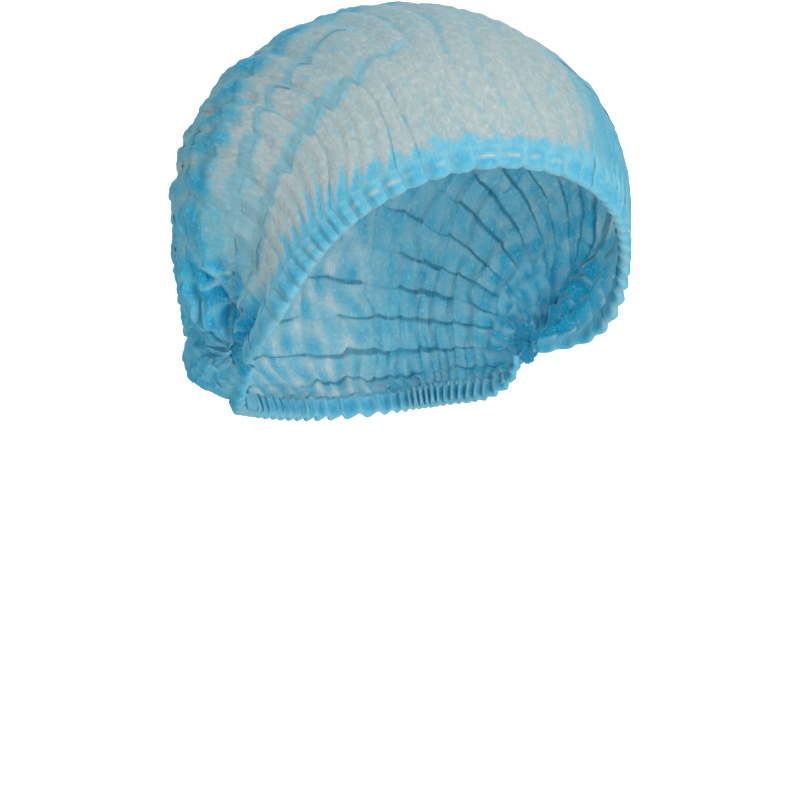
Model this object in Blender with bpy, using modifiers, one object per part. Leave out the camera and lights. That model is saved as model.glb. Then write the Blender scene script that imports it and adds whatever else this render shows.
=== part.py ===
"""Disposable hairnet in the shape that it takes when worn.

One pleated sheet (the crown) runs from a gathered end behind the right ear to another behind the left.
Its long edges are turned over thin elastics: one casing along the forehead, one around the nape.
Metres, +Z up. The origin is the top of the head inside the crown. The wearer faces -Y, so +X is the
wearer's left.
"""
import bpy
import numpy as np
from math import pi

MM = 0.001

# Cloth and clearances
WALL = 1.0 * MM
GAP = 0.3 * MM

# The gathered ends: half their distance apart, their place, and the ring that the crown stops at
END_X = 70 * MM
END_Y = 20 * MM
END_Z = -141 * MM
RING = 7.0 * MM

# Ribs run across the pleats, two columns of faces each. Each pleat panel is one row of faces.
RIBS = 42
PANELS = 18
RIB_HEIGHT_FRONT = 1.2 * MM
RIB_HEIGHT_BACK = 2.6 * MM
PLEAT_HEIGHT = 0.9 * MM
RIB_GROWTH_END = 0.35      # share of the way to the rear edge at which the ribs reach their full height
RIB_FADE = 0.08            # share of a pleat line over which they fade out at each gathered end

# Hem casings and elastics
CASING_DEPTH = 9.0 * MM
CASING_THICKNESS = 4.0 * MM
INNER_WALL_TOP = 1.5 * MM
SCALLOP = 0.9 * MM
CASING_START = 10.0 * MM   # from the gathered end's middle
FRONT_KEEP = 0.5           # how far a casing carries on the sheet's direction: the rest hangs straight down
REAR_KEEP = 0.35
ELASTIC_RADIUS = 0.6 * MM
ELASTIC_DEPTH = 4.6 * MM
FRONT_STATIONS = 64
REAR_STATIONS = 40

# The gathered ends' folds
END_FOLDS = 9
END_RADIUS = 6.0 * MM
END_TAIL = 3.2 * MM
END_THICKNESS = 3.0 * MM
END_FOLD_HEIGHT = 0.8 * MM
END_CORNER = np.radians(225)
END_RINGS = [(0.25, 0.5), (0.6, 0.5), (1.0, 0.15), (1.0, -0.15), (0.6, -0.5), (0.25, -0.5)]

# Each row is the section along one pleat line, in millimetres and degrees, from front edge to rear edge.
#   turn   direction of the section about the line through both ends, 0 to the rear and 90 up
#   top    height of the section over that line at the middle of the head
#   right  half width on the wearer's right; left is the other side's
#   waist  height at which the section is widest
#   puff   how far it bellies out just beside the gathered end, 0 to 1
#   swing  further turn close to the gathered end, where the edges meet
#   skew   further turn on the wearer's left, less on the right: the cap sits a little askew
# The right width turns into the left one between the two shares of a pleat line in SIDE_BLEND. The swing
# dies away over SWING_REACH of the section's top.
SIDE_BLEND = (0.35, 0.65)
SWING_REACH = 0.44
SECTION_COLUMNS = ("turn", "top", "right", "left", "waist", "puff", "swing", "skew")
SECTIONS = np.array([
    (140, 134, 80, 86, 44, 0.15, 29, 2.0),
    (122, 146, 81, 94, 57, 0.45, 10, 1.0),
    (100, 146, 95, 98, 61, 0.90, 0, 0.0),
    (78, 139, 93, 94, 54, 1.00, 0, 0.0),
    (55, 133, 84, 89, 42, 1.00, 0, 0.0),
    (32, 114, 79, 82, 34, 1.00, 0, 0.0),
    (10, 97, 75, 79, 26, 1.00, 0, 0.0),
    (-13, 88, 76, 78, 22, 0.80, -8, 0.0),
    (-26, 61, 69, 69, 8, 0.10, -45, 0.0),
])


def ramp(value, start, end):
    """0 before `start`, 1 after `end` and straight between them."""
    return np.clip((value - start) / (end - start), 0, 1)


def section_values(across):
    """Each column's value at `across`, 0 on the front edge to 1 on the rear edge, smooth through the rows."""
    last = len(SECTIONS) - 1
    place = np.clip(across, 0, 1) * last
    row = np.minimum(place.astype(int), last - 1)
    f = (place - row)[..., None]
    before = SECTIONS[np.maximum(row - 1, 0)]
    here = SECTIONS[row]
    after = SECTIONS[row + 1]
    beyond = SECTIONS[np.minimum(row + 2, last)]
    slope = after - before
    bend = 2 * before - 5 * here + 4 * after - beyond
    twist = 3 * here - before - 3 * after + beyond
    values = here + 0.5 * (slope * f + bend * f ** 2 + twist * f ** 3)
    return dict(zip(SECTION_COLUMNS, np.moveaxis(values, -1, 0)))


def envelope(along, across):
    """The smooth worn shape, metres. `along` runs from the right end, 0, to the left end, 1."""
    row = section_values(across)
    side = row["right"] + (row["left"] - row["right"]) * ramp(along, *SIDE_BLEND)
    top, waist, puff = row["top"], row["waist"], row["puff"]
    end_x = END_X / MM
    reach = 2 * np.minimum(along, 1 - along)

    # The lower stretch is a cubic from the end to the widest place, the upper one a quarter ellipse.
    lower_length = 1.1 * np.hypot(waist, side - end_x)
    upper_length = pi / 2 * np.sqrt((side ** 2 + (top - waist) ** 2) / 2)
    share = lower_length / (lower_length + upper_length)
    u = np.clip(reach / share, 0, 1)
    v = np.clip((reach - share) / (1 - share), 0, 1) * pi / 2
    w1, w2, w3 = 3 * u * (1 - u) ** 2, 3 * u * u * (1 - u), u ** 3
    belly_x = end_x + (side - end_x) * (0.35 + 0.55 * puff)
    belly_height = waist * (0.33 - 0.18 * puff)
    lower_x = (1 - u) ** 3 * end_x + w1 * belly_x + w2 * side + w3 * side
    lower_height = w1 * belly_height + w2 * 0.55 * waist + w3 * waist
    is_lower = reach < share
    x = np.where(is_lower, lower_x, side * np.cos(v))
    x = np.where(along < 0.5, -x, x)
    height = np.where(is_lower, lower_height, waist + (top - waist) * np.sin(v))

    swing = row["swing"] * np.exp(-(height / (SWING_REACH * top)) ** 2)
    turn = np.radians(row["turn"] + swing + row["skew"] * x / side)
    y = END_Y + MM * height * np.cos(turn)
    z = END_Z + MM * height * np.sin(turn)
    return np.stack([MM * x, y, z], -1)


def unit(vectors):
    return vectors / np.linalg.norm(vectors, axis=-1, keepdims=True)


def frame_of(along, across):
    """Point, outward normal and both tangents of the worn shape."""
    step = 1e-4
    point = envelope(along, across)
    to_left = envelope(along + step, across) - envelope(along - step, across)
    low, high = np.clip(across - step, 0, 1), np.clip(across + step, 0, 1)
    to_rear = envelope(along, high) - envelope(along, low)
    normal = unit(np.cross(to_left, to_rear))
    return point, normal, unit(to_left), unit(to_rear)


def along_from_ring(across, distance):
    """The `along` at which the sheet on this pleat line is `distance` from the right gathered end."""
    low = np.zeros_like(across)
    high = np.full_like(across, 0.4)
    end = np.array([-END_X, END_Y, END_Z])
    for _ in range(30):
        middle = (low + high) / 2
        near = np.linalg.norm(envelope(middle, across) - end, axis=-1) < distance
        low = np.where(near, middle, low)
        high = np.where(near, high, middle)
    return low


def material(name, colour, roughness):
    made = bpy.data.materials.new(name)
    made.use_nodes = True
    shader = made.node_tree.nodes["Principled BSDF"]
    shader.inputs["Base Color"].default_value = (*colour, 1)
    shader.inputs["Roughness"].default_value = roughness
    shader.inputs["Metallic"].default_value = 0.0
    return made


def grid_object(name, points, finish, wall, closed_section=False):
    """A mesh from a grid of points, [station][place], thickened inwards by `wall` where that is not 0."""
    stations, places = points.shape[:2]
    index = np.arange(stations * places).reshape(stations, places)
    if closed_section:
        index = np.hstack([index, index[:, :1]])
    faces = [
        (int(index[i, j]), int(index[i + 1, j]), int(index[i + 1, j + 1]), int(index[i, j + 1]))
        for i in range(stations - 1)
        for j in range(index.shape[1] - 1)
    ]
    if closed_section:
        faces.append([int(n) for n in index[0, :-1]])
        faces.append([int(n) for n in index[-1, -2::-1]])
    mesh = bpy.data.meshes.new(name)
    mesh.from_pydata(points.reshape(-1, 3).tolist(), [], faces)
    made = bpy.data.objects.new(name, mesh)
    hairnet.objects.link(made)
    mesh.materials.append(finish)
    if wall:
        shell = made.modifiers.new("wall", "SOLIDIFY")
        shell.thickness = wall
        shell.offset = -1
    mesh.shade_smooth()
    mesh.set_sharp_from_angle(angle=0.6)
    return made


def make_crown():
    """The pleated sheet: pleats fold it to and fro, ribs cross them, both fading at its edges."""
    columns = 2 * RIBS
    across = np.linspace(0, 1, PANELS + 1)
    start = along_from_ring(across, RING)
    share = np.linspace(0, 1, columns + 1)[:, None]
    along = start + (1 - 2 * start) * share
    across = np.broadcast_to(across, along.shape)
    point, normal, _, _ = frame_of(along, across)

    growth = ramp(across, 0, RIB_GROWTH_END)
    rib_height = RIB_HEIGHT_FRONT + (RIB_HEIGHT_BACK - RIB_HEIGHT_FRONT) * growth
    off_ends = ramp(np.minimum(share, 1 - share), 0, RIB_FADE)
    off_edges = ramp(np.minimum(across, 1 - across), 0, 1 / PANELS)
    crest = (np.arange(columns + 1) % 2)[:, None] - 0.5
    fold = (np.arange(PANELS + 1) % 2)[None, :] - 0.5
    lift = off_ends * off_edges * (rib_height * crest + PLEAT_HEIGHT * fold)
    return grid_object("crown", point + normal * lift[..., None], crown_cloth, WALL)


def hem_line(across, stations, keep):
    """Points of a hem's upper edge, with the outward normal and the direction in which the casing hangs.

    `keep` is how far the casing carries on the sheet's own direction; the rest of it hangs straight down.
    """
    edge = np.full(stations + 1, float(across))
    start = along_from_ring(edge[:1], CASING_START)[0]
    along = np.linspace(start, 1 - start, stations + 1)
    point, normal, to_left, to_rear = frame_of(along, edge)
    onward = to_rear if across == 1 else -to_rear
    hang = keep * onward + (1 - keep) * np.array([0, 0, -1.0])
    hang -= np.sum(hang * to_left, -1, keepdims=True) * to_left
    hang = unit(hang)
    outward = np.cross(to_left, hang)
    outward *= np.sign(np.sum(outward * normal, -1, keepdims=True))
    return point, unit(outward), hang


def make_casing(name, line):
    """The turned-over hem: outer wall, round fold with scallops, inner wall, open upwards."""
    point, outward, hang = line
    scallop = SCALLOP * (np.arange(len(point)) % 2)
    depth = CASING_DEPTH + scallop
    fold = CASING_THICKNESS / 2
    bend = [0, pi / 4, pi / 2, 3 * pi / 4, pi]
    down = [np.full_like(depth, GAP)]
    inward = [0.0]
    for angle in bend:
        down.append(depth - fold + fold * np.sin(angle))
        inward.append(fold - fold * np.cos(angle))
    down.append(np.full_like(depth, INNER_WALL_TOP))
    inward.append(CASING_THICKNESS)
    rows = [point + hang * d[:, None] - outward * i for d, i in zip(down, inward)]
    points = np.stack(rows, 1)
    facing = np.cross(points[1, 0] - points[0, 0], points[0, 1] - points[0, 0])
    if facing @ outward[0] < 0:
        points = points[::-1]
    return grid_object(name, points, hem_cloth, WALL)


def make_elastic(name, line):
    """The elastic in the middle of its casing, from one gathered end to the other."""
    point, outward, hang = line
    route = point + hang * ELASTIC_DEPTH - outward * CASING_THICKNESS / 2
    curve = bpy.data.curves.new(name, "CURVE")
    curve.dimensions = "3D"
    curve.bevel_depth = ELASTIC_RADIUS
    curve.bevel_resolution = 2
    curve.use_fill_caps = True
    spline = curve.splines.new("POLY")
    spline.points.add(len(route) - 1)
    for knot, place in zip(spline.points, route):
        knot.co = (*place, 1)
    curve.materials.append(white_elastic)
    made = bpy.data.objects.new(name, curve)
    hairnet.objects.link(made)
    return made


def make_gathered_end(name, side):
    """Welded folds around the end's middle: a ridged disc, longer towards the corner of the two hems."""
    around = np.linspace(0, 2 * pi, 4 * END_FOLDS, endpoint=False)
    corner = np.clip(np.cos(around - END_CORNER), 0, 1) ** 2
    radius = END_RADIUS + END_TAIL * corner
    ridge = END_FOLD_HEIGHT * np.cos(END_FOLDS * around)
    rows = []
    for share, out in END_RINGS:
        lift = END_THICKNESS * out + ridge * share
        y = END_Y + radius * share * np.cos(around)
        z = END_Z + radius * share * np.sin(around)
        rows.append(np.stack([side * (END_X + lift), y, z], -1))
    points = np.stack(rows, 0)
    if side < 0:
        points = points[::-1]
    return grid_object(name, points, hem_cloth, 0, closed_section=True)


for old in list(bpy.data.objects):
    bpy.data.objects.remove(old)

hairnet = bpy.data.collections.new("disposable_hairnet")
bpy.context.scene.collection.children.link(hairnet)
crown_cloth = material("nonwoven crown", (0.36, 0.62, 0.70), 0.75)
hem_cloth = material("nonwoven hem", (0.10, 0.50, 0.68), 0.75)
white_elastic = material("white elastic", (0.85, 0.88, 0.90), 0.6)

make_crown()
front_line = hem_line(0, FRONT_STATIONS, FRONT_KEEP)
rear_line = hem_line(1, REAR_STATIONS, REAR_KEEP)
make_casing("front_hem", front_line)
make_casing("rear_hem", rear_line)
make_elastic("front_elastic", front_line)
make_elastic("rear_elastic", rear_line)
make_gathered_end("gathered_end_right", -1)
make_gathered_end("gathered_end_left", 1)
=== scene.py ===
"""The looks of a disposable hairnet in its worn shape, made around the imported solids.

The real thing is one rectangle of light blue spunbond nonwoven, folded like an accordion into long pleats.
Its short ends are pressed together and welded, and its long edges are turned over thin elastics. Metres, +Z
up, the wearer faces -Y, and the origin is where the crown rests from inside when it is worn.
"""
import bmesh
import bpy
import numpy as np
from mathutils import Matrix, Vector


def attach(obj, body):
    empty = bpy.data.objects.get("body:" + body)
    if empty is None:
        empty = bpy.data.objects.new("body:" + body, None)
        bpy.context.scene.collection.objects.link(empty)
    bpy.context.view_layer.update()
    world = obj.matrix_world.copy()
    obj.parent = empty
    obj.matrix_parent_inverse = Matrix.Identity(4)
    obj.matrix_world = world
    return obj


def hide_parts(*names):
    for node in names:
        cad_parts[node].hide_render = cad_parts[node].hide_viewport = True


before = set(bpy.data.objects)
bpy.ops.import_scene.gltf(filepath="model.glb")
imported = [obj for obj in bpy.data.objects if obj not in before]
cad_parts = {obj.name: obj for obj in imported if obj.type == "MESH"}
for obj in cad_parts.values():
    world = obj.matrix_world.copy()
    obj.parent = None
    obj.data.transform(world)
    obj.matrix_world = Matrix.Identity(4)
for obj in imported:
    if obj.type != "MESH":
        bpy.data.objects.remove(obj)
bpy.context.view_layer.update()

MM = 0.001

# The worn shape of the sheet.
# Every pleat line is a curve from the gathered end behind the right ear to the one behind the left ear. A
# table gives its section, a row for each direction about the line through both ends, from front to rear.

END_X, END_Y, END_Z = 70 * MM, 20 * MM, -141 * MM

#   turn   direction of the section about the line through both ends, 0 to the rear and 90 up
#   top    height of the section over that line, midway between the ends, millimetres
#   right  half width on the wearer's right; left is the other side's
#   waist  height at which the section is widest
#   puff   how far it bellies out just beside the gathered end, 0 to 1
#   swing  further turn close to the gathered end, where the edges meet
#   skew   further turn on the wearer's left, less on the right: the cap sits a little askew
SECTION_COLUMNS = ("turn", "top", "right", "left", "waist", "puff", "swing", "skew")
SECTIONS = np.array([
    (140, 134, 80, 86, 44, 0.15, 29, 2.0),
    (122, 146, 81, 94, 57, 0.45, 10, 1.0),
    (100, 146, 95, 98, 61, 0.90, 0, 0.0),
    (78, 139, 93, 94, 54, 1.00, 0, 0.0),
    (55, 133, 84, 89, 42, 1.00, 0, 0.0),
    (32, 114, 79, 82, 34, 1.00, 0, 0.0),
    (10, 97, 75, 79, 26, 1.00, 0, 0.0),
    (-13, 88, 76, 78, 22, 0.80, -8, 0.0),
    (-26, 61, 69, 69, 8, 0.10, -45, 0.0),
])
SIDE_BLEND = (0.35, 0.65)
SWING_REACH = 0.44


def ramp(value, start, end):
    """0 before start, 1 after end, straight between them."""
    return np.clip((value - start) / (end - start), 0, 1)


def ease(value, start, end):
    """As ramp, with a smooth start and end."""
    t = ramp(value, start, end)
    return t * t * (3 - 2 * t)


def section_values(across):
    """Each column's value at across, 0 front edge to 1 rear edge: a Catmull-Rom curve through the rows."""
    last = len(SECTIONS) - 1
    place = np.clip(across, 0, 1) * last
    row = np.minimum(place.astype(int), last - 1)
    f = (place - row)[..., None]
    before, here = SECTIONS[np.maximum(row - 1, 0)], SECTIONS[row]
    after, beyond = SECTIONS[row + 1], SECTIONS[np.minimum(row + 2, last)]
    slope = after - before
    bend = 2 * before - 5 * here + 4 * after - beyond
    twist = 3 * here - before - 3 * after + beyond
    values = here + 0.5 * (slope * f + bend * f ** 2 + twist * f ** 3)
    return dict(zip(SECTION_COLUMNS, np.moveaxis(values, -1, 0)))


def envelope(along, across):
    """The smooth worn shape: a cubic from the gathered end to the widest place, then a quarter ellipse up
    to midway between the ends, in a half plane through the line between them. along runs 0 to 1 from right
    to left, across 0 to 1 from the front edge to the rear edge."""
    row = section_values(across)
    side = row["right"] + (row["left"] - row["right"]) * ramp(along, *SIDE_BLEND)
    top, waist, puff = row["top"], row["waist"], row["puff"]
    end_x = END_X / MM
    reach = 2 * np.minimum(along, 1 - along)
    lower_length = 1.1 * np.hypot(waist, side - end_x)
    upper_length = np.pi / 2 * np.sqrt((side ** 2 + (top - waist) ** 2) / 2)
    share = lower_length / (lower_length + upper_length)
    u = np.clip(reach / share, 0, 1)
    v = np.clip((reach - share) / (1 - share), 0, 1) * np.pi / 2
    w1, w2, w3 = 3 * u * (1 - u) ** 2, 3 * u * u * (1 - u), u ** 3
    belly_x = end_x + (side - end_x) * (0.35 + 0.55 * puff)
    belly_height = waist * (0.33 - 0.18 * puff)
    lower_x = (1 - u) ** 3 * end_x + w1 * belly_x + (w2 + w3) * side
    lower_height = w1 * belly_height + w2 * 0.55 * waist + w3 * waist
    is_lower = reach < share
    x = np.where(is_lower, lower_x, side * np.cos(v))
    x = np.where(along < 0.5, -x, x)
    height = np.where(is_lower, lower_height, waist + (top - waist) * np.sin(v))
    swing = row["swing"] * np.exp(-(height / (SWING_REACH * top)) ** 2)
    turn = np.radians(row["turn"] + swing + row["skew"] * x / side)
    y = END_Y + MM * height * np.cos(turn)
    z = END_Z + MM * height * np.sin(turn)
    return np.stack([MM * x, y, z], -1)


def unit(vectors):
    """Each vector at length 1."""
    return vectors / np.maximum(np.linalg.norm(vectors, axis=-1, keepdims=True), 1e-12)


def frame_of(along, across):
    """Point, outward normal and both tangents of the worn shape, by small differences."""
    step = 1e-4
    point = envelope(along, across)
    to_left = envelope(along + step, across) - envelope(along - step, across)
    low, high = np.clip(across - step, 0, 1), np.clip(across + step, 0, 1)
    to_rear = envelope(along, high) - envelope(along, low)
    return point, unit(np.cross(to_left, to_rear)), unit(to_left), unit(to_rear)


def along_from_ring(across, distance):
    """The along at which each pleat line is that distance from the right end, by halving."""
    low, high = np.zeros_like(across), np.full_like(across, 0.4)
    end = np.array([-END_X, END_Y, END_Z])
    for _ in range(30):
        middle = (low + high) / 2
        near = np.linalg.norm(envelope(middle, across) - end, axis=-1) < distance
        low, high = np.where(near, middle, low), np.where(near, high, middle)
    return low


# The nonwoven.
# Thin spunbond polypropylene, dyed light blue: a matted web of fibres with a fine grid of bond points. One
# layer is pale and lets some light straight through, and each fold that doubles it looks deeper and bluer.

CLOTH_SINGLE = (0.42, 0.465, 0.44)
CLOTH_DOUBLE = (0.115, 0.40, 0.50)
CLOTH_DEEP = (0.0, 0.34, 0.56)
CLOTH_LAP_PAINTED_LIGHT = (0.22, 0.49, 0.58)         # where a pleat lies over itself: partly its own blue, partly painted light that offsets the shade of its layers
CLOTH_HEM_PAINTED_LIGHT = (0.14, 0.52, 0.67)         # a lighter copy of the doubled blue: painted light for the hems, the teeth and the gathered ends
CLOTH_LIGHT = (0.62, 0.67, 0.65)       # fibre bundles of a single layer
CLOTH_DIM = (0.24, 0.34, 0.36)         # its thin places
CLOTH_FROST = (0.34, 0.68, 0.78)       # fibre bundles over deep blue
ELASTIC_WHITE = (0.80, 0.88, 0.91)
BOND_PITCH = 1.5 * MM
BOND_RATE = 2 * np.pi / BOND_PITCH
FIBRE_STRETCH = (1.0, 0.22, 1.0)
CLOUD_SCALE, FIBRE_SCALE, STRAND_SCALE, SPECK_SCALE, BLOTCH_SCALE = 90.0, 900.0, 1500.0, 420.0, 330.0


class Wire:
    """A shader socket whose operators add Math nodes."""

    tree = None

    def __init__(self, socket):
        self.socket = socket

    @classmethod
    def node(cls, kind, settings=None, **values):
        """Adds a node, sets its settings, then its sockets: a value or a wire for each name."""
        made = cls.tree.nodes.new(kind)
        for name, value in (settings or {}).items():
            setattr(made, name, value)
        for name, value in values.items():
            key = int(name[1:]) if name[1:].isdigit() else name.replace("_", " ")
            target = made.inputs[key]
            if isinstance(value, Wire):
                cls.tree.links.new(value.socket, target)
            else:
                target.default_value = value
        return made

    @classmethod
    def math(cls, operation, *values, clamp=False):
        settings = {"operation": operation, "use_clamp": clamp}
        made = cls.node("ShaderNodeMath", settings, **{f"i{n}": v for n, v in enumerate(values)})
        return Wire(made.outputs[0])

    def __add__(self, other):
        return Wire.math("ADD", self, other)

    def __sub__(self, other):
        return Wire.math("SUBTRACT", self, other)

    def __rsub__(self, other):
        return Wire.math("SUBTRACT", other, self)

    def __mul__(self, other):
        return Wire.math("MULTIPLY", self, other)

    __radd__ = __add__
    __rmul__ = __mul__

    def clamped(self):
        return Wire.math("ADD", self, 0.0, clamp=True)


def mix_colour(factor, first, second):
    """Colour between first and second by factor."""
    settings = {"data_type": "RGBA", "clamp_factor": True}
    made = Wire.node("ShaderNodeMix", settings, Factor=factor, i6=first, i7=second)
    return Wire(made.outputs[2])


def noise(place, scale, detail=3.0, roughness=0.6):
    """Noise between 0 and 1 with about `scale` lumps a metre."""
    made = Wire.node("ShaderNodeTexNoise", {}, Vector=place, Scale=scale, Detail=detail, Roughness=roughness)
    return Wire(made.outputs["Fac"])


def mesh_values(name):
    """The mesh's own values of that name, 0 where it has none."""
    return Wire(Wire.node("ShaderNodeAttribute", {"attribute_name": name}).outputs["Fac"])


def start_material(name):
    """An empty material whose tree the next wires go into, and its output node."""
    made = bpy.data.materials.new(name)
    made.use_nodes = True
    made.node_tree.nodes.clear()
    Wire.tree = made.node_tree
    return made, Wire.node("ShaderNodeOutputMaterial")


def nonwoven(name, cover_thin, cover_thick, least=0.0, window=0.0):
    """Fibres over a grid of bond points: they vary the cover, the colour and the relief. The mesh's doubling
    values turn the pale web of one layer, 0, to the light blue of fuller cloth, 0.5, and the deep blue of
    many folds, 1; on the crown they also carry painted shade and painted light. least is added where the
    mesh has none. lap is 1 where a pleat lies over itself, which gets a lighter blue that is partly painted
    light. The painted light values are 1 in the hems and on the crown's teeth and near its gathered ends,
    which get a lighter copy of the doubled blue as painted light. window is how much of what lies under the
    cloth shows where the doubling is 0."""
    made, output = start_material(name)
    flat = Wire(Wire.node("ShaderNodeUVMap", {"uv_map": "cut"}).outputs["UV"])
    parts = Wire.node("ShaderNodeSeparateXYZ", {}, Vector=flat).outputs
    worn = Wire(Wire.node("ShaderNodeTexCoord").outputs["Object"])
    layers, lap, painted_light = mesh_values("doubling_light_and_shade"), mesh_values("lap"), mesh_values("painted_light")
    bond = Wire.math("SINE", Wire(parts[0]) * BOND_RATE) * Wire.math("SINE", Wire(parts[1]) * BOND_RATE)
    cloud = noise(worn, CLOUD_SCALE, 4.0)
    fibre = noise(flat, FIBRE_SCALE, 5.0, 0.7)
    along_fibres = Wire.node("ShaderNodeVectorMath", {"operation": "MULTIPLY"}, i0=flat, i1=FIBRE_STRETCH)
    strands = noise(Wire(along_fibres.outputs[0]), STRAND_SCALE, 4.0, 0.65)
    speck = noise(worn, SPECK_SCALE, 3.0)
    density = (0.45 * cloud + 0.35 * fibre + 0.20 * speck + 0.05 * bond).clamped()
    density = ((density - 0.38) * 4.2).clamped()
    cover = cover_thin + (cover_thick - cover_thin) * density
    bare = (1 - 5 * layers).clamped() * window
    cover = (cover + (1 - cover) * (1.2 * (layers + least)).clamped()) * (1 - 0.3 * bare)
    layers = layers + least + 0.26 * (cloud - 0.5) + 0.16 * (speck - 0.5)
    # Painted light: in the hems and on the crown's teeth and near its gathered ends, a lighter copy of the
    # doubled blue.
    double = mix_colour(painted_light, (*CLOTH_DOUBLE, 1), (*CLOTH_HEM_PAINTED_LIGHT, 1))
    colour = mix_colour((2 * layers).clamped(), (*CLOTH_SINGLE, 1), double)
    colour = mix_colour((2 * layers - 1).clamped(), colour, (*CLOTH_DEEP, 1))
    # Where a pleat lies over itself: a lighter blue, partly the overlap's own colour, partly painted light
    # that offsets the shade of its three layers.
    colour = mix_colour(lap, colour, (*CLOTH_LAP_PAINTED_LIGHT, 1))
    blotch = noise(flat, BLOTCH_SCALE, 3.0, 0.7)
    dim = ((0.50 - blotch) * 3.2).clamped() * (1 - 0.8 * layers).clamped()
    colour = mix_colour(dim, colour, (*CLOTH_DIM, 1))
    pale = (1 - density) * 0.25 + ((strands - 0.50) * 5.0).clamped() * 0.45
    pale = pale + ((blotch - 0.52) * 5.0).clamped() * 0.45
    colour = mix_colour(pale * (1 - 1.2 * layers).clamped(), colour, (*CLOTH_LIGHT, 1))
    frost = ((strands - 0.50) * 6.0).clamped() * 0.30 + ((speck - 0.55) * 8.0).clamped() * 0.30
    colour = mix_colour(frost * layers.clamped(), colour, (*CLOTH_FROST, 1))
    colour = mix_colour(bare, colour, (*ELASTIC_WHITE, 1))
    relief = fibre * 0.7 + bond * 0.15
    bump = Wire.node("ShaderNodeBump", {}, Strength=0.35, Distance=0.0004, Height=relief)
    bumped = Wire(bump.outputs[0])
    face = Wire.node(
        "ShaderNodeBsdfPrincipled",
        {},
        Base_Color=colour,
        Roughness=0.78,
        Specular_IOR_Level=0.2,
        Sheen_Weight=0.04,
        Sheen_Roughness=0.5,
        Normal=bumped,
    )
    through = Wire.node("ShaderNodeBsdfTranslucent", {}, Color=colour, Normal=bumped)
    gap = Wire.node("ShaderNodeBsdfTransparent", {}, Color=(1, 1, 1, 1))
    web = Wire.node(
        "ShaderNodeMixShader", {}, Fac=0.30, i1=Wire(face.outputs[0]), i2=Wire(through.outputs[0])
    )
    whole = Wire.node(
        "ShaderNodeMixShader", {}, Fac=cover, i1=Wire(gap.outputs[0]), i2=Wire(web.outputs[0])
    )
    Wire.tree.links.new(whole.outputs[0], output.inputs["Surface"])
    return made


# The crown.
# The pleated sheet between the two hems. The pleats of the flat pack leave lines where the cloth still
# overlaps itself; the elastics draw it into ribs across them. It is stretched in front and loose behind.

RIBS = 42
PANELS = 18
RING = 6.0 * MM            # how far from the middle of the gathered end the sheet starts
CUT_RIB = 12.4 * MM        # flat length between rib creases
CUT_PANEL = 25.0 * MM      # flat width between pleat lines
CROWDING = 0.35            # how much closer the ribs lie at the temples than on the forehead
RIB_PLACES = np.array([-0.5, -0.34, -0.22, -0.14, -0.08, -0.03, 0.03, 0.08, 0.14, 0.22, 0.34])
CLOSE_PANEL_PLACES = np.array(
    [-0.5, -0.40, -0.33, -0.28, -0.23, -0.18, -0.11, -0.04, 0.04, 0.11, 0.18, 0.23, 0.28, 0.33, 0.40]
)
PANEL_PLACES = np.array([-0.5, -0.36, -0.25, -0.16, -0.08, 0.0, 0.08, 0.16, 0.25, 0.36])
CLOSE_PANELS = 5.5         # the front panels, whose pleat lines show, have closer places
DOUBLE_BACK = 3.4          # pull at which an overlap is 1.66 spreads wide
OVERLAP_PER_SPREAD = 1.66
TAUT_LINES = 1.5           # lines ahead of this one have opened flat
LINE_DRIFT = 1.2           # how far the pull of the forehead draws the lines back at the top, in panels
DRIFT_PANELS = 9.0
PLEAT_OVERLAP_LEAST, PLEAT_OVERLAP_MOST = 1.8 * MM, 6.3 * MM
PLEAT_SHARE_MOST = 0.40    # the most of a panel that an overlap takes
PLEAT_STEP = 0.30 * MM     # half the height of the step at a pleat line
FACING_LINES = 3.5         # the folds of the lines ahead of this one face the front, the others the rear
LOBE_END = 0.10            # how far the rounded ends of the ribs reach over a pleat line, in panels
STAIR = 0.07               # how far a pleat line steps aside from lobe to lobe, in panels
SLANT = 0.26               # how far it slants across each lobe, before it steps back
CREASE_STEP = 0.25 * MM    # half the height of the step at a rib crease
CREASE_OVERLAP_FRONT, CREASE_OVERLAP_BACK = 0.25 * MM, 0.6 * MM
RIB_HEIGHT_FRONT, RIB_HEIGHT_BACK = 0.45 * MM, 2.15 * MM
PAIR_START, PAIR_END = 1.1, 2.1        # panels over which two ribs become one wider lobe
TOOTH_LENGTH_TOP, TOOTH_LENGTH_SIDE = 3.5 * MM, 15.0 * MM
TOOTH_OVERLAP = 1.5 * MM   # overlap of the teeth at the hem
LOOSE_START, LOOSE_END = 2.8, 5.4      # panels over which the sheet goes from taut to loose
LUMP = 1.3 * MM            # slow unevenness of the loose cloth
GATHER_HEIGHT = 4.5 * MM   # depth of the accordion folds near the gathered ends
CRUMPLE_FRONT, CRUMPLE_BACK = 0.15 * MM, 0.4 * MM
POCKET_NEAR, POCKET_FAR = 16.0 * MM, 50.0 * MM       # reach of the pockets from each gathered end
POCKET_PANEL_NEAR, POCKET_PANEL_FAR = 2.4, 4.1       # the panels that they lie on there
POCKET_WIDTH = 1.0         # in panels
POCKET_DEPTH = 5.5 * MM
VALLEY_DEPTH = 3.0 * MM    # dip between the hem and the pockets
VALLEY_PANEL, VALLEY_WIDTH = 1.3, 0.7
VALLEY_NEAR, VALLEY_FAR = 18.0 * MM, 75.0 * MM       # its reach from each gathered end

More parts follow.
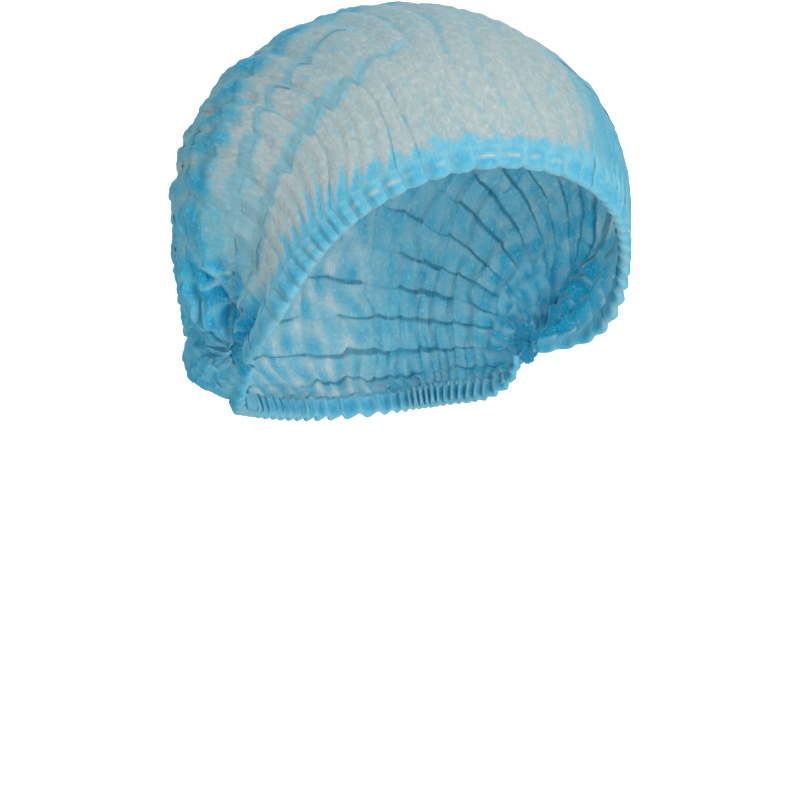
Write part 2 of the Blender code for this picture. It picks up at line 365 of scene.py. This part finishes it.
# How far the cloth is doubled, from 0 for one layer to 1 for many folds, with painted shade and painted
# light added in places.
FLAT_LAYERS = 0.04
TOP_SHADE_LAYERS = 0.20          # painted shade: deeper blue added over the top
TOOTH_LAYERS = 0.60
LAP_LAYERS = 0.52          # where a pleat lies over itself
STREAK_LAYERS = 0.20       # added along the rib creases
BLUE_LAYERS = 0.68         # the closed folds behind
BLUE_START, BLUE_END = 3.3, 3.95       # panels over which the open sheet turns to them
RIB_LAYERS = 0.50          # how much it varies there from a crease to the crest of a rib
SIDE_LAYERS = (0.46, 0.70)             # fuller cloth on the wearer's right and left
SIDE_REACH = (0.26, 0.84)              # how far up each side it goes
SIDE_REACH_BEHIND = 0.20   # how much further up it goes on the right, behind the first open line
NOOK_LAYERS = 0.95         # the close folds between the pockets and the hem
NOOK_NEAR, NOOK_FAR = 18.0 * MM, 44.0 * MM           # their reach from each gathered end
HOLLOW_SHADE_LAYERS = 1.1        # painted shade in the hollows of the gathers and the pockets, on top of their folded cloth
RIDGE_HIGHLIGHT_LAYERS = 0.22        # painted highlight: paler cloth on the ridges between the pockets
BESIDE_LAYERS = 0.25       # added around the pockets
PAINTED_LIGHT_FADE = (28.0 * MM, 60.0 * MM)        # where the painted light near the gathered ends fades out


def waver(u, v, seed, waves=8):
    """Smooth random relief of about -1 to 1: sines in random directions, about one wave a unit."""
    random = np.random.default_rng(seed)
    total = 0
    for _ in range(waves):
        heading, rate, shift = random.uniform(0, 2 * np.pi), random.uniform(0.6, 1.7), random.uniform(0, 9)
        total = total + np.sin(2 * np.pi * rate * (u * np.cos(heading) + v * np.sin(heading)) + shift)
    return total / np.sqrt(waves) / 1.2


def by_cell(line, rib, seed):
    """A random value of -1 to 1 for each pleat line and rib, changing quickly at the creases."""
    table = np.random.default_rng(seed).uniform(-1, 1, (PANELS + 2, RIBS + 4))
    cell = np.floor(rib).astype(int) + 1
    blend = ease(rib - np.floor(rib), 0.84, 1.0)
    row = np.clip(line, 0, PANELS).astype(int)
    here, following = table[row, np.clip(cell, 0, RIBS + 3)], table[row, np.clip(cell + 1, 0, RIBS + 3)]
    return here + (following - here) * blend


def doubled(off, overlap):
    """At a distance off from a line where the cloth doubles back over that overlap: its shift, which is
    minus pull * spread * u * exp(-u^2) with u off over the spread, the step in its height from 1 to -1, and
    whether three layers lie at the shifted place, 0 or 1."""
    spread = np.maximum(overlap, 0.02) / OVERLAP_PER_SPREAD
    u = off / spread
    strength = ramp(overlap, 0.0, 0.03)
    pulled = -DOUBLE_BACK * strength * u * np.exp(-u * u)
    layers = np.exp(-((u + pulled) / 0.95) ** 8) * strength
    return pulled * spread, -np.tanh(1.6 * u), layers


def spacing(along, across):
    """The distance between pleat lines on the worn shape, and between rib creases."""
    step = 1e-3
    low, high = np.clip(across - step, 0, 1), np.clip(across + step, 0, 1)
    pleats = envelope(along, high) - envelope(along, low)
    ribs = envelope(along + step, across) - envelope(along - step, across)
    pleat_gap = np.linalg.norm(pleats, axis=-1) / (high - low) / PANELS
    return pleat_gap, np.linalg.norm(ribs, axis=-1) / (2 * step) / RIBS


def pleat_length(panel):
    """Worn length of the pleat line at each panel place, from end to end, as a chain of 40 chords."""
    along = np.linspace(0, 1, 41)[:, None]
    across = np.clip(np.linspace(0, PANELS, 91) / PANELS, 0, 1)[None, :]
    chain = envelope(*np.broadcast_arrays(along, across))
    lengths = np.linalg.norm(np.diff(chain, axis=0), axis=-1).sum(0)
    return np.interp(panel, np.linspace(0, PANELS, 91), lengths)


def rib_place(fold, panel):
    """Which rib each place lies on, with the creases at whole numbers: fold runs 0 to 1 along the sheet, and
    the creases waver."""
    inward = ease(2 * np.minimum(fold, 1 - fold), 0.05, 0.25)
    return RIBS * fold + 0.42 * waver(fold * 6, panel / 3, 11) * inward


def cloth(fold, panel):
    """Where the sheet lies. fold runs 0 to 1 along the pleats, rib by rib, panel 0 to PANELS across them.

    The share of the length is fold + CROWDING * sin(4 pi fold) / (4 pi), which crowds the ribs at the
    temples. At each pleat line and each rib crease the cloth doubles back over an overlap, where its height
    steps as tanh. Ribs stand up between their creases as sin^2 and abs(sin)^0.7, and push the pleat lines
    aside, so that these climb as stairs. Near the hems the creases' overlap grows into teeth, and near the
    gathered ends the panels stand up as cos(pi * panel), with deep pockets in a slanting row. Returns along,
    across, the height over the worn shape, how far the cloth is doubled, 0 to 1, with painted shade over the
    top, in the hollows and on one side of each tooth and painted light on the pocket ridges, the other side
    of each tooth and the loose rear cloth, where pleats lap, which get a lighter blue that is partly painted
    light, and where the teeth and the gathered ends get painted light."""
    share = fold + CROWDING * np.sin(4 * np.pi * fold) / (4 * np.pi)
    start = along_from_ring(np.clip(panel / PANELS, 0, 1), RING)
    along = start + (1 - 2 * start) * share
    pleat_gap, rib_gap = spacing(along, panel / PANELS)
    stretch = (1 - 2 * start) * (1 + CROWDING * np.cos(4 * np.pi * fold))
    rib_gap = rib_gap * stretch
    reach = 2 * np.minimum(share, 1 - share)
    away = reach * 0.5 * pleat_length(panel)
    edge = np.minimum(panel, PANELS - panel)
    front = 1 - ramp(panel / PANELS, 0.06, 0.21)
    sides = 1 - ease(reach, 0.50, 0.95)
    near_end = 1 - ease(reach, 0.08, 0.30)
    left = ramp(share, 0.4, 0.6)

    rib = rib_place(fold, panel)
    crease = np.round(rib)
    phase = rib - crease
    part = rib / 2 - np.floor(rib / 2)
    pair = ease(panel, PAIR_START, PAIR_END) * (1 - ease(panel, 14, 16)) * ease(reach, 0.12, 0.3)
    pair = pair * (1 - ease(reach, 0.72, 0.92))
    lobe = np.abs(np.sin(np.pi * rib / 2))
    hump = (1 - pair) * np.abs(np.sin(np.pi * rib)) + pair * lobe
    kept = 1 - pair * (crease % 2)
    line = np.round(panel)
    off = panel - line

    # Pleat lines, where they have not opened flat.
    is_open = ease(line, TAUT_LINES - 0.5, TAUT_LINES + 0.5) * ease(PANELS - line, 0.0, 1.0)
    is_open = is_open * (1 - 0.9 * ease(reach, 0.68, 0.92) * (1 - ease(line, 3.5, 6.0)))
    overlap = (CUT_PANEL + 2 * PLEAT_OVERLAP_LEAST - pleat_gap) / 2
    overlap = np.clip(overlap, PLEAT_OVERLAP_LEAST, PLEAT_OVERLAP_MOST) / pleat_gap
    overlap = np.minimum(overlap, PLEAT_SHARE_MOST) * (1 + 0.3 * by_cell(line, rib / 2, 21))
    loose_here = ease(panel, LOOSE_START, LOOSE_END)
    overlap = overlap * is_open * (1 - 0.8 * near_end) * (1 - 0.6 * loose_here)
    shift, step, pleat_layers = doubled(off, overlap)
    slant = (part - 0.5 - ease(part, 0.86, 1.0)) * (1 - 2 * left) * (1 - ease(line, 3.5, 5.0))
    ends = LOBE_END * (lobe ** 0.6 - 0.6) + STAIR * by_cell(line, rib / 2, 22) + SLANT * slant
    drift = LINE_DRIFT * ease(reach, 0.1, 1.0) * np.sin(np.pi * np.clip(panel / DRIFT_PANELS, 0, 1))
    across = panel + drift + shift + ends * np.exp(-(off / 0.30) ** 2) * is_open * (1 - near_end)
    fade = np.exp(-(off / 0.35) ** 2) * is_open
    height = np.sign(line - FACING_LINES) * PLEAT_STEP * step * fade * (1 - 0.3 * front)

    # Rib creases, which grow into teeth at the hems.
    tooth_length = TOOTH_LENGTH_TOP + (TOOTH_LENGTH_SIDE - TOOTH_LENGTH_TOP) * sides
    tooth_length = tooth_length * (1 + 0.35 * by_cell(line * 0, rib + 0.5, 31))
    tooth = 1 - ramp(edge * pleat_gap, 0, tooth_length)
    overlap = CREASE_OVERLAP_BACK + (CREASE_OVERLAP_FRONT - CREASE_OVERLAP_BACK) * front
    overlap = overlap * ramp(waver(rib / 2, panel / 1.5, 32), 0.1, 1.0) * kept
    overlap = overlap + TOOTH_OVERLAP * tooth * (0.35 + 0.65 * sides)
    shift, step, _ = doubled(phase, np.maximum(overlap, 0) / rib_gap)
    sideways = shift * stretch / RIBS
    turned = np.sign(np.random.default_rng(34).uniform(-1, 1, RIBS + 3))
    turned = turned[np.clip(crease + 1, 0, RIBS + 2).astype(int)]
    height = height + turned * CREASE_STEP * step * np.exp(-(phase / 0.35) ** 2) * kept

    # Ribs.
    rib_height = RIB_HEIGHT_BACK + (RIB_HEIGHT_FRONT - RIB_HEIGHT_BACK) * front
    uneven = 1 + 0.30 * waver(rib / 2.3, panel / 3, 35)
    soft = hump ** 2
    crest = (0.65 + 0.35 * front) * soft + 0.35 * (1 - front) * hump ** 0.7
    ribs = rib_height * (crest - 0.65) * uneven * (1 - 0.45 * fade)
    height = height + ribs * (0.4 + 0.6 * ease(reach, 0.02, 0.2)) * (1 + 0.5 * tooth * front)

    # Accordion folds beside the gathered ends, and the pockets and the dip beyond them.
    gather = ease(reach, 0.0, 0.07) * (1 - ease(reach, 0.10, 0.34)) * ease(edge, 0.2, 1.2)
    zigzag = np.cos(np.pi * (panel + 0.25 * waver(rib / 2.5, panel / 2, 42)))
    zigzag = zigzag * (1 + 0.4 * waver(rib / 2, panel, 41))
    gather_height = GATHER_HEIGHT * (1 - 0.35 * ease(panel, 4.5, 6.0))
    height = height + gather_height * gather * zigzag * (0.6 + 0.4 * crest)
    outward = ramp(away, POCKET_NEAR, POCKET_FAR)
    pocket_panel = POCKET_PANEL_NEAR + (POCKET_PANEL_FAR - POCKET_PANEL_NEAR) * outward
    aside = (panel - pocket_panel - 0.3 * waver(rib / 3, 0 * rib, 43)) / POCKET_WIDTH
    beyond_near = ease(away, 0.5 * POCKET_NEAR, POCKET_NEAR)
    pocket = np.exp(-aside ** 2) * beyond_near * (1 - ease(away, 0.8 * POCKET_FAR, POCKET_FAR))
    dent = np.abs(np.sin(np.pi * (rib + 0.25 * np.tanh(6 * aside)))) ** 0.8
    dent = dent * (0.2 + 0.8 * np.minimum(np.abs(aside) / 0.35, 1))
    height = height - POCKET_DEPTH * pocket * dent
    valley = np.exp(-((panel - VALLEY_PANEL) / VALLEY_WIDTH) ** 2)
    valley = valley * ease(away, VALLEY_NEAR, 1.7 * VALLEY_NEAR)
    valley = valley * (1 - ease(away, 0.6 * VALLEY_FAR, VALLEY_FAR))
    height = height - VALLEY_DEPTH * valley

    # Crumples and slow lumps.
    loose = CRUMPLE_BACK + (CRUMPLE_FRONT - CRUMPLE_BACK) * front
    length, width = fold * RIBS * CUT_RIB, panel * CUT_PANEL
    crumple = waver(length / 0.014, width / 0.016, 51) + 0.5 * waver(length / 0.006, width / 0.008, 52)
    lumps = LUMP * loose_here * waver(rib / 3.2, panel / 2.2, 53)
    height = height + (loose * crumple + lumps) * ease(edge, 0.0, 1.0)

    # How far the cloth is doubled: closed folds behind, painted shade over the top, the sides, the creases
    # and the pleat lines.
    clouds = waver(rib / 1.6, panel / 1.2, 62)
    # Fewer layers from panel 4.4 on, away from the gathered ends: painted light that lightens the loose rear
    # cloth, which faces down and away from the key light.
    blue = BLUE_LAYERS - 0.20 * ease(panel, 4.4, 5.4) * ease(reach, 0.2, 0.45) + 0.12 * clouds
    blue = blue + RIB_LAYERS * (hump - 0.65) * (1 - near_end)
    doubling_light_and_shade = FLAT_LAYERS + ease(panel + 0.12 * clouds, BLUE_START, BLUE_END) * blue
    # Painted shade: deeper blue cloth over the top of the crown.
    top_shade = ease(reach, 0.4, 0.9) * ease(panel, 1.2, 3.0) * (1 - ease(panel, 3.3, 4.0))
    doubling_light_and_shade = doubling_light_and_shade + TOP_SHADE_LAYERS * top_shade
    side_end = SIDE_REACH[0] + SIDE_REACH_BEHIND * ease(panel, 1.8, 2.6)
    side_end = side_end + (SIDE_REACH[1] - side_end) * left
    side_layers = SIDE_LAYERS[0] + (SIDE_LAYERS[1] - SIDE_LAYERS[0]) * left
    fuller = 1 - ease(reach + 0.02 * clouds, side_end - 0.16, side_end)
    doubling_light_and_shade = np.maximum(doubling_light_and_shade, (side_layers + 0.08 * clouds) * fuller)
    streak = np.exp(-(phase / 0.07) ** 2) * ramp(waver(rib / 1.5, panel / 3.5, 61), -0.6, 0.8) * kept
    doubling_light_and_shade = np.maximum(doubling_light_and_shade, LAP_LAYERS * pleat_layers) + STREAK_LAYERS * streak
    # The same for the teeth, with painted light and shade on their two sides, the close folds beside the
    # gathered ends, and the pockets, with painted shade in their hollows and a painted highlight on their
    # ridges.
    fine = waver(rib * 2, panel * 3, 63)
    sharp = ease(sides, 0.1, 0.8)
    teeth = 1.15 * tooth - (0.7 + 1.2 * sharp) * np.abs(phase) + (0.30 - 0.12 * sharp) * fine
    teeth = ease(teeth, -0.12, 0.75 - 0.5 * sharp)
    # Painted light and shade on each tooth: paler on one side of its crease, deeper blue on the other.
    shade = TOOTH_LAYERS - (0.06 + 0.18 * sharp) * np.tanh(6 * phase) * np.exp(-(phase / 0.35) ** 2)
    doubling_light_and_shade = doubling_light_and_shade + (shade - doubling_light_and_shade) * teeth
    corner = (1 - ease(away, NOOK_NEAR, NOOK_FAR)) * ease(panel, 0.2, 0.7) * (1 - ease(panel, 2.0, 3.5))
    doubling_light_and_shade = doubling_light_and_shade + (NOOK_LAYERS - doubling_light_and_shade) * corner
    # Painted shade in the hollows of the accordion folds beside the gathered ends.
    hollow_shade = gather * (0.5 - 0.5 * np.cos(np.pi * panel)) * (0.35 + 0.65 * dent)
    hollow_shade = hollow_shade * (1 - 0.7 * ease(panel, 4.0, 5.5))
    beside = np.exp(-(aside / 1.6) ** 2) * beyond_near * (1 - ease(away, 0.8 * POCKET_FAR, 1.1 * POCKET_FAR))
    doubling_light_and_shade = doubling_light_and_shade + BESIDE_LAYERS * beside
    # Painted highlight on the ridges between the pockets, and painted shade in their hollows.
    doubling_light_and_shade = doubling_light_and_shade + (RIDGE_HIGHLIGHT_LAYERS - doubling_light_and_shade) * pocket * (1 - dent) ** 1.5
    doubling_light_and_shade = doubling_light_and_shade + (HOLLOW_SHADE_LAYERS - doubling_light_and_shade) * np.maximum(hollow_shade, pocket * ease(dent, 0.15, 0.7))
    lap = ease(pleat_layers, 0.3, 0.9) * (1 - ease(panel, 3.3, 3.8))
    # Painted light: the teeth and the cloth near the gathered ends take the lighter copy of the doubled
    # blue.
    painted_light = np.maximum(teeth, 1 - ease(away, *PAINTED_LIGHT_FADE))
    return along + sideways, np.clip(across / PANELS, 0, 1), height, doubling_light_and_shade, lap, painted_light


SHARP_FOLD = np.radians(55)            # edges sharper than this are not smoothed


def make_mesh(name, points, cut, finish, named_values=None, closed=False):
    """A smooth mesh from a grid of points, with the flat cut's coordinates in its UV map and an attribute
    for each grid of named values. Where closed, the last place across meets the first."""
    rows, columns = points.shape[:2]
    index = np.arange(rows * columns).reshape(rows, columns)
    if closed:
        index = np.hstack([index, index[:, :1]])
    quads = np.stack([index[:-1, :-1], index[1:, :-1], index[1:, 1:], index[:-1, 1:]], -1).reshape(-1, 4)
    mesh = bpy.data.meshes.new(name)
    mesh.vertices.add(rows * columns)
    mesh.vertices.foreach_set("co", points.reshape(-1).astype(np.float32))
    mesh.loops.add(quads.size)
    mesh.loops.foreach_set("vertex_index", quads.reshape(-1).astype(np.int32))
    mesh.polygons.add(len(quads))
    mesh.polygons.foreach_set("loop_start", np.arange(0, quads.size, 4, dtype=np.int32))
    mesh.polygons.foreach_set("use_smooth", np.ones(len(quads), dtype=bool))
    layer = mesh.uv_layers.new(name="cut")
    layer.data.foreach_set("uv", cut.reshape(-1, 2)[quads.reshape(-1)].reshape(-1).astype(np.float32))
    for kind, values in (named_values or {}).items():
        attribute = mesh.attributes.new(kind, "FLOAT", "POINT")
        attribute.data.foreach_set("value", values.reshape(-1).astype(np.float32))
    mesh.update(calc_edges=True)
    mesh.validate()
    mesh.set_sharp_from_angle(angle=SHARP_FOLD)
    mesh.materials.append(finish)
    made = bpy.data.objects.new(name, mesh)
    bpy.context.scene.collection.objects.link(made)
    return made


def places(count, within):
    """Places from 0 to count, closer together beside each whole number."""
    spots = (np.arange(count + 1)[:, None] + within[None, :]).reshape(-1)
    return np.concatenate([[0.0], spots[(spots > 0) & (spots < count)], [float(count)]])


crown_cloth = nonwoven("nonwoven crown", 0.80, 0.95)
fold_line = places(RIBS, RIB_PLACES) / RIBS
close, wide = places(PANELS, CLOSE_PANEL_PLACES), places(PANELS, PANEL_PLACES)
panel_line = np.concatenate([close[close < CLOSE_PANELS], wide[wide >= CLOSE_PANELS]])
fold, panel = np.meshgrid(fold_line, panel_line, indexing="ij")
along, across, height, doubling_light_and_shade, lap, painted_light = cloth(fold, panel)
point, normal, _, _ = frame_of(along, across)
crown_cut = np.stack([fold * RIBS * CUT_RIB, panel * CUT_PANEL], -1)
crown_values = {"doubling_light_and_shade": doubling_light_and_shade, "lap": lap, "painted_light": painted_light}
crown = make_mesh("crown_sheet", point + normal * height[..., None], crown_cut, crown_cloth, crown_values)
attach(crown, "root")
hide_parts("crown")


# The hems.
# The same sheet, turned over its elastic and joined above it, so the band is two layers deep. Its fold is
# drawn into small scallops, one for each rib.

CASING_DEPTH, CASING_THICKNESS = 9.0 * MM, 4.0 * MM
INNER_WALL_TOP = 1.0 * MM  # how far below the crown's edge the inner wall ends
SCALLOP_FRONT, SCALLOP_REAR = 2.1 * MM, 1.5 * MM
RUFFLE_FRONT, RUFFLE_REAR = 1.5 * MM, 2.5 * MM
FRONT_KEEP, REAR_KEEP = 0.5, 0.35      # how much each band goes on as the crown does; the rest hangs down
ELASTIC_DEPTH = 4.6 * MM   # where the elastic shows through the outer wall
NARROW = 0.66              # how narrow the casing gets beside the gathered ends
CASING_LAYERS = 0.50       # how far its cloth is doubled, and what is added in the middle of each ruffle
CELL_LAYERS = 0.32
FOLD_LAYERS, PINCH_LAYERS = 0.16, 0.10 # what is less at the fold and at each crease


def hem_points(panel_edge, keep, scallop, wave, rows_down=10, rows_fold=8, rows_up=6):
    """Down the outer wall, round the fold as a half circle and up the inner wall, on the cloth's own ribs.
    The wall ruffles as sin^2 of the rib, and its fold hangs in scallops as abs(sin)^0.5."""
    fold = fold_line
    edge = np.full_like(fold, float(panel_edge))
    along, across, height, *_ = cloth(fold, edge)
    point, normal, to_left, to_rear = frame_of(along, across)
    onward = to_rear if panel_edge else -to_rear
    hang = keep * onward + (1 - keep) * np.array([0, 0, -1.0])
    hang = unit(hang - np.sum(hang * to_left, -1, keepdims=True) * to_left)
    outward = unit(np.cross(to_left, hang))
    outward = outward * np.sign(np.sum(outward * normal, -1, keepdims=True))
    reach = 2 * np.minimum(fold, 1 - fold)
    rib = rib_place(fold, edge)
    phase = (rib - np.round(rib))[:, None]
    hump = np.abs(np.sin(np.pi * rib))
    small = NARROW + (1 - NARROW) * ease(reach, 0.05, 0.25)
    depth = CASING_DEPTH * small + scallop * (hump ** 0.5 - 0.55) * small
    half = CASING_THICKNESS / 2 * (0.5 + 0.5 * small)
    bends = np.linspace(0, np.pi, rows_fold + 1)
    down = [d * (depth - half) for d in np.linspace(0, 1, rows_down + 1)[:-1]]
    inset = [0 * half for _ in down]
    down += [depth - half + half * np.sin(angle) for angle in bends]
    inset += [half - half * np.cos(angle) for angle in bends]
    down += [depth - half + d * (INNER_WALL_TOP - depth + half) for d in np.linspace(0, 1, rows_up + 1)[1:]]
    inset += [2 * half] * rows_up
    down, inset = np.stack(down, 1), np.stack(inset, 1)
    blend = ease(down, 0, 3 * MM)
    lift = unit(normal[:, None] * (1 - blend[..., None]) + outward[:, None] * blend[..., None])
    wave = wave * (0.45 + 0.55 * ease(reach, 0.08, 0.30))[:, None]
    ruffle = height[:, None] + wave * (hump[:, None] ** 2 - 0.5) * blend
    keep_ruffle = 1 - 0.35 * inset / CASING_THICKNESS
    points = point[:, None] + hang[:, None] * down[..., None] - outward[:, None] * inset[..., None]
    points = points + lift * (ruffle * keep_ruffle)[..., None]
    cut = np.stack([np.broadcast_to(fold[:, None] * RIBS * CUT_RIB, down.shape), down + inset], -1)
    cell = hump[:, None] ** 0.8 * np.sin(np.pi * ramp(down, 0, depth.max()))
    outline = np.exp(-((inset - half[:, None]) / (0.8 * MM)) ** 2)
    pinch = np.exp(-(phase / 0.10) ** 2)
    thread = np.exp(-((down - ELASTIC_DEPTH) / (0.9 * MM)) ** 2) * ease(hump[:, None], 0.3, 0.8)
    thread = thread * (inset < 0.1 * MM) * ease(reach[:, None], 0.3, 0.45) * (panel_edge == 0)
    thread = thread * ease(waver(rib / 2.2, 0 * rib, 71)[:, None], -0.5, 0.1)
    doubling_light_and_shade = CASING_LAYERS + CELL_LAYERS * cell - FOLD_LAYERS * outline - PINCH_LAYERS * pinch
    return points, cut, doubling_light_and_shade * (1 - thread)


hem_cloth = nonwoven("nonwoven hem", 0.70, 0.90, window=0.8)
for name, panel_edge, keep, scallop, wave in (
    ("front_hem", 0, FRONT_KEEP, SCALLOP_FRONT, RUFFLE_FRONT),
    ("rear_hem", PANELS, REAR_KEEP, SCALLOP_REAR, RUFFLE_REAR),
):
    points, cut, doubling_light_and_shade = hem_points(panel_edge, keep, scallop, wave)
    if panel_edge == 0:
        points, cut, doubling_light_and_shade = points[:, ::-1], cut[:, ::-1], doubling_light_and_shade[:, ::-1]
    # The hems take the lighter copy of the doubled blue all over: painted light.
    band_values = {"doubling_light_and_shade": doubling_light_and_shade, "painted_light": np.ones_like(doubling_light_and_shade)}
    band = make_mesh(name + "_band", points, cut, hem_cloth, band_values)
    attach(band, "root")
    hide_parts(name)


# The gathered ends.
# All the pleats pressed together and welded into a small bundle, with the fold edges fanning out of it.

END_FOLDS = 12
END_REACH = 8.6 * MM
END_NOSE = 3.0 * MM        # how far the middle stands out
END_RIDGE = 1.3 * MM
END_INSET = 0.5 * MM
HEM_CORNER, HEM_CORNER_REACH = np.radians(195), 0.30   # it reaches further to where the hems meet


def gathered_end(side):
    """A fan of folds: radius from the reach to the middle, with ridges as abs(sin(folds * angle / 2)) that
    grow outwards."""
    around = np.linspace(0, 2 * np.pi, 16 * END_FOLDS, endpoint=False)[None, :]
    out = np.linspace(1, 0, 16)[:, None]
    corner = np.clip(np.cos(around - HEM_CORNER), 0, 1)
    radius = out * END_REACH * (1 + HEM_CORNER_REACH * corner)
    ridge = np.abs(np.sin(END_FOLDS / 2 * around + 0.8 * np.sin(3 * around))) ** 0.8
    lift = END_NOSE * (1 - out) ** 1.3 + END_RIDGE * (ridge - 0.5) * (0.35 + 0.65 * out)
    angle = around + 0.25 * (1 - out)
    y = END_Y + radius * np.cos(angle)
    z = END_Z + radius * np.sin(angle)
    x = side * (END_X - END_INSET + lift)
    points = np.stack(np.broadcast_arrays(x, y, z), -1)
    cut = np.stack(np.broadcast_arrays(around * 5 * MM, out * 10 * MM), -1)
    return points, cut


end_cloth = nonwoven("nonwoven welded", 0.8, 0.98, least=0.9)
for name, side in (("gathered_end_right", -1), ("gathered_end_left", 1)):
    points, cut = gathered_end(side)
    if side < 0:
        points, cut = points[::-1], cut[::-1]
    end = make_mesh(name + "_folds", points, cut, end_cloth, closed=True)
    merged = bmesh.new()
    merged.from_mesh(end.data)
    bmesh.ops.remove_doubles(merged, verts=merged.verts, dist=0.01 * MM)
    merged.to_mesh(end.data)
    merged.free()
    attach(end, "root")
    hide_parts(name)


# The elastics.
# Thin covered rubber thread, white, inside each casing from one gathered end to the other.

elastic_finish, output = start_material("white elastic")
worn = Wire(Wire.node("ShaderNodeTexCoord").outputs["Object"])
strand = noise(worn, 1400.0, 2.0)
colour = mix_colour(strand, (0.80, 0.84, 0.86, 1), (0.95, 0.97, 0.98, 1))
bump = Wire.node("ShaderNodeBump", {}, Strength=0.3, Distance=0.0002, Height=strand)
thread = Wire.node(
    "ShaderNodeBsdfPrincipled", {}, Base_Color=colour, Roughness=0.6, Normal=Wire(bump.outputs[0])
)
Wire.tree.links.new(thread.outputs[0], output.inputs["Surface"])
for name in ("front_elastic", "rear_elastic"):
    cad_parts[name].data.materials.clear()
    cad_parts[name].data.materials.append(elastic_finish)


# The floor, the light and the camera.
# A plain pale sweep under soft studio light. The cap hangs above it in its worn shape, seen from in front
# and from its right.

FLOOR_Z = -0.345
SWEEP_FRONT, SWEEP_BACK, SWEEP_RADIUS, SWEEP_HALF, SWEEP_TOP = -3.0, 1.6, 0.6, 3.0, 3.0
VIEW_TURN, VIEW_HEIGHT = np.radians(-30.0), np.radians(5.0)
DISTANCE = 1.15
PIXEL = 0.42 * MM          # what a pixel of the picture spans at the cap
PICTURE = 800
SENSOR = 36
STUDIO_LIGHT = 0.68

away = np.array([-np.sin(VIEW_TURN), np.cos(VIEW_TURN), 0])
right = np.array([np.cos(VIEW_TURN), np.sin(VIEW_TURN), 0])
arc = np.linspace(0, np.pi / 2, 16)
bend = SWEEP_BACK - SWEEP_RADIUS + SWEEP_RADIUS * np.sin(arc)
run = np.concatenate([[SWEEP_FRONT, 0.0], bend, [SWEEP_BACK]])
rise = np.concatenate([[0.0, 0.0], SWEEP_RADIUS * (1 - np.cos(arc)), [SWEEP_TOP]])
line = away * run[:, None] + np.array([0, 0, 1.0]) * (FLOOR_Z + rise[:, None])
sweep = np.stack([line + right * SWEEP_HALF, line - right * SWEEP_HALF], 1)
paper, output = start_material("pale paper")
grain = noise(Wire(Wire.node("ShaderNodeTexCoord").outputs["Object"]), 30.0)
colour = mix_colour(grain, (0.95, 0.95, 0.95, 1), (0.97, 0.97, 0.97, 1))
plain = Wire.node("ShaderNodeBsdfPrincipled", {}, Base_Color=colour, Roughness=0.9)
Wire.tree.links.new(plain.outputs[0], output.inputs["Surface"])
floor = make_mesh("floor", sweep, np.zeros(sweep.shape[:2] + (2,)), paper)


def area_light(name, place, aim, size, power):
    """A square soft box at place, turned to aim."""
    lamp = bpy.data.lights.new(name, "AREA")
    lamp.shape = "SQUARE"
    lamp.size = size
    lamp.energy = power
    made = bpy.data.objects.new(name, lamp)
    made.location = place
    made.rotation_euler = (Vector(aim) - Vector(place)).to_track_quat("-Z", "Y").to_euler()
    bpy.context.scene.collection.objects.link(made)


middle = (0, 0, -0.1)      # of the cap
area_light("key", (-0.05, -1.8, 0.45), middle, 0.9, 25)
area_light("backdrop", tuple(away * 1.1 + [0, 0, 1.1]), tuple(away * 1.8 + [0, 0, -0.1]), 1.0, 12)
world = bpy.data.worlds.new("studio")
world.use_nodes = True
world.node_tree.nodes["Background"].inputs["Color"].default_value = (1, 1, 1, 1)
world.node_tree.nodes["Background"].inputs["Strength"].default_value = STUDIO_LIGHT
bpy.context.scene.world = world
bpy.context.scene.view_settings.view_transform = "Standard"

aim = np.array([0, 0, -0.162]) - right * 10 * PIXEL
back = -away * np.cos(VIEW_HEIGHT) + np.array([0, 0, np.sin(VIEW_HEIGHT)])
camera = bpy.data.cameras.new("camera")
camera.sensor_width = SENSOR
camera.lens = SENSOR * DISTANCE / (PICTURE * PIXEL)
eye = bpy.data.objects.new("camera", camera)
eye.location = aim + back * DISTANCE
eye.rotation_euler = Vector(-back).to_track_quat("-Z", "Y").to_euler()
bpy.context.scene.collection.objects.link(eye)
bpy.context.scene.camera = eye
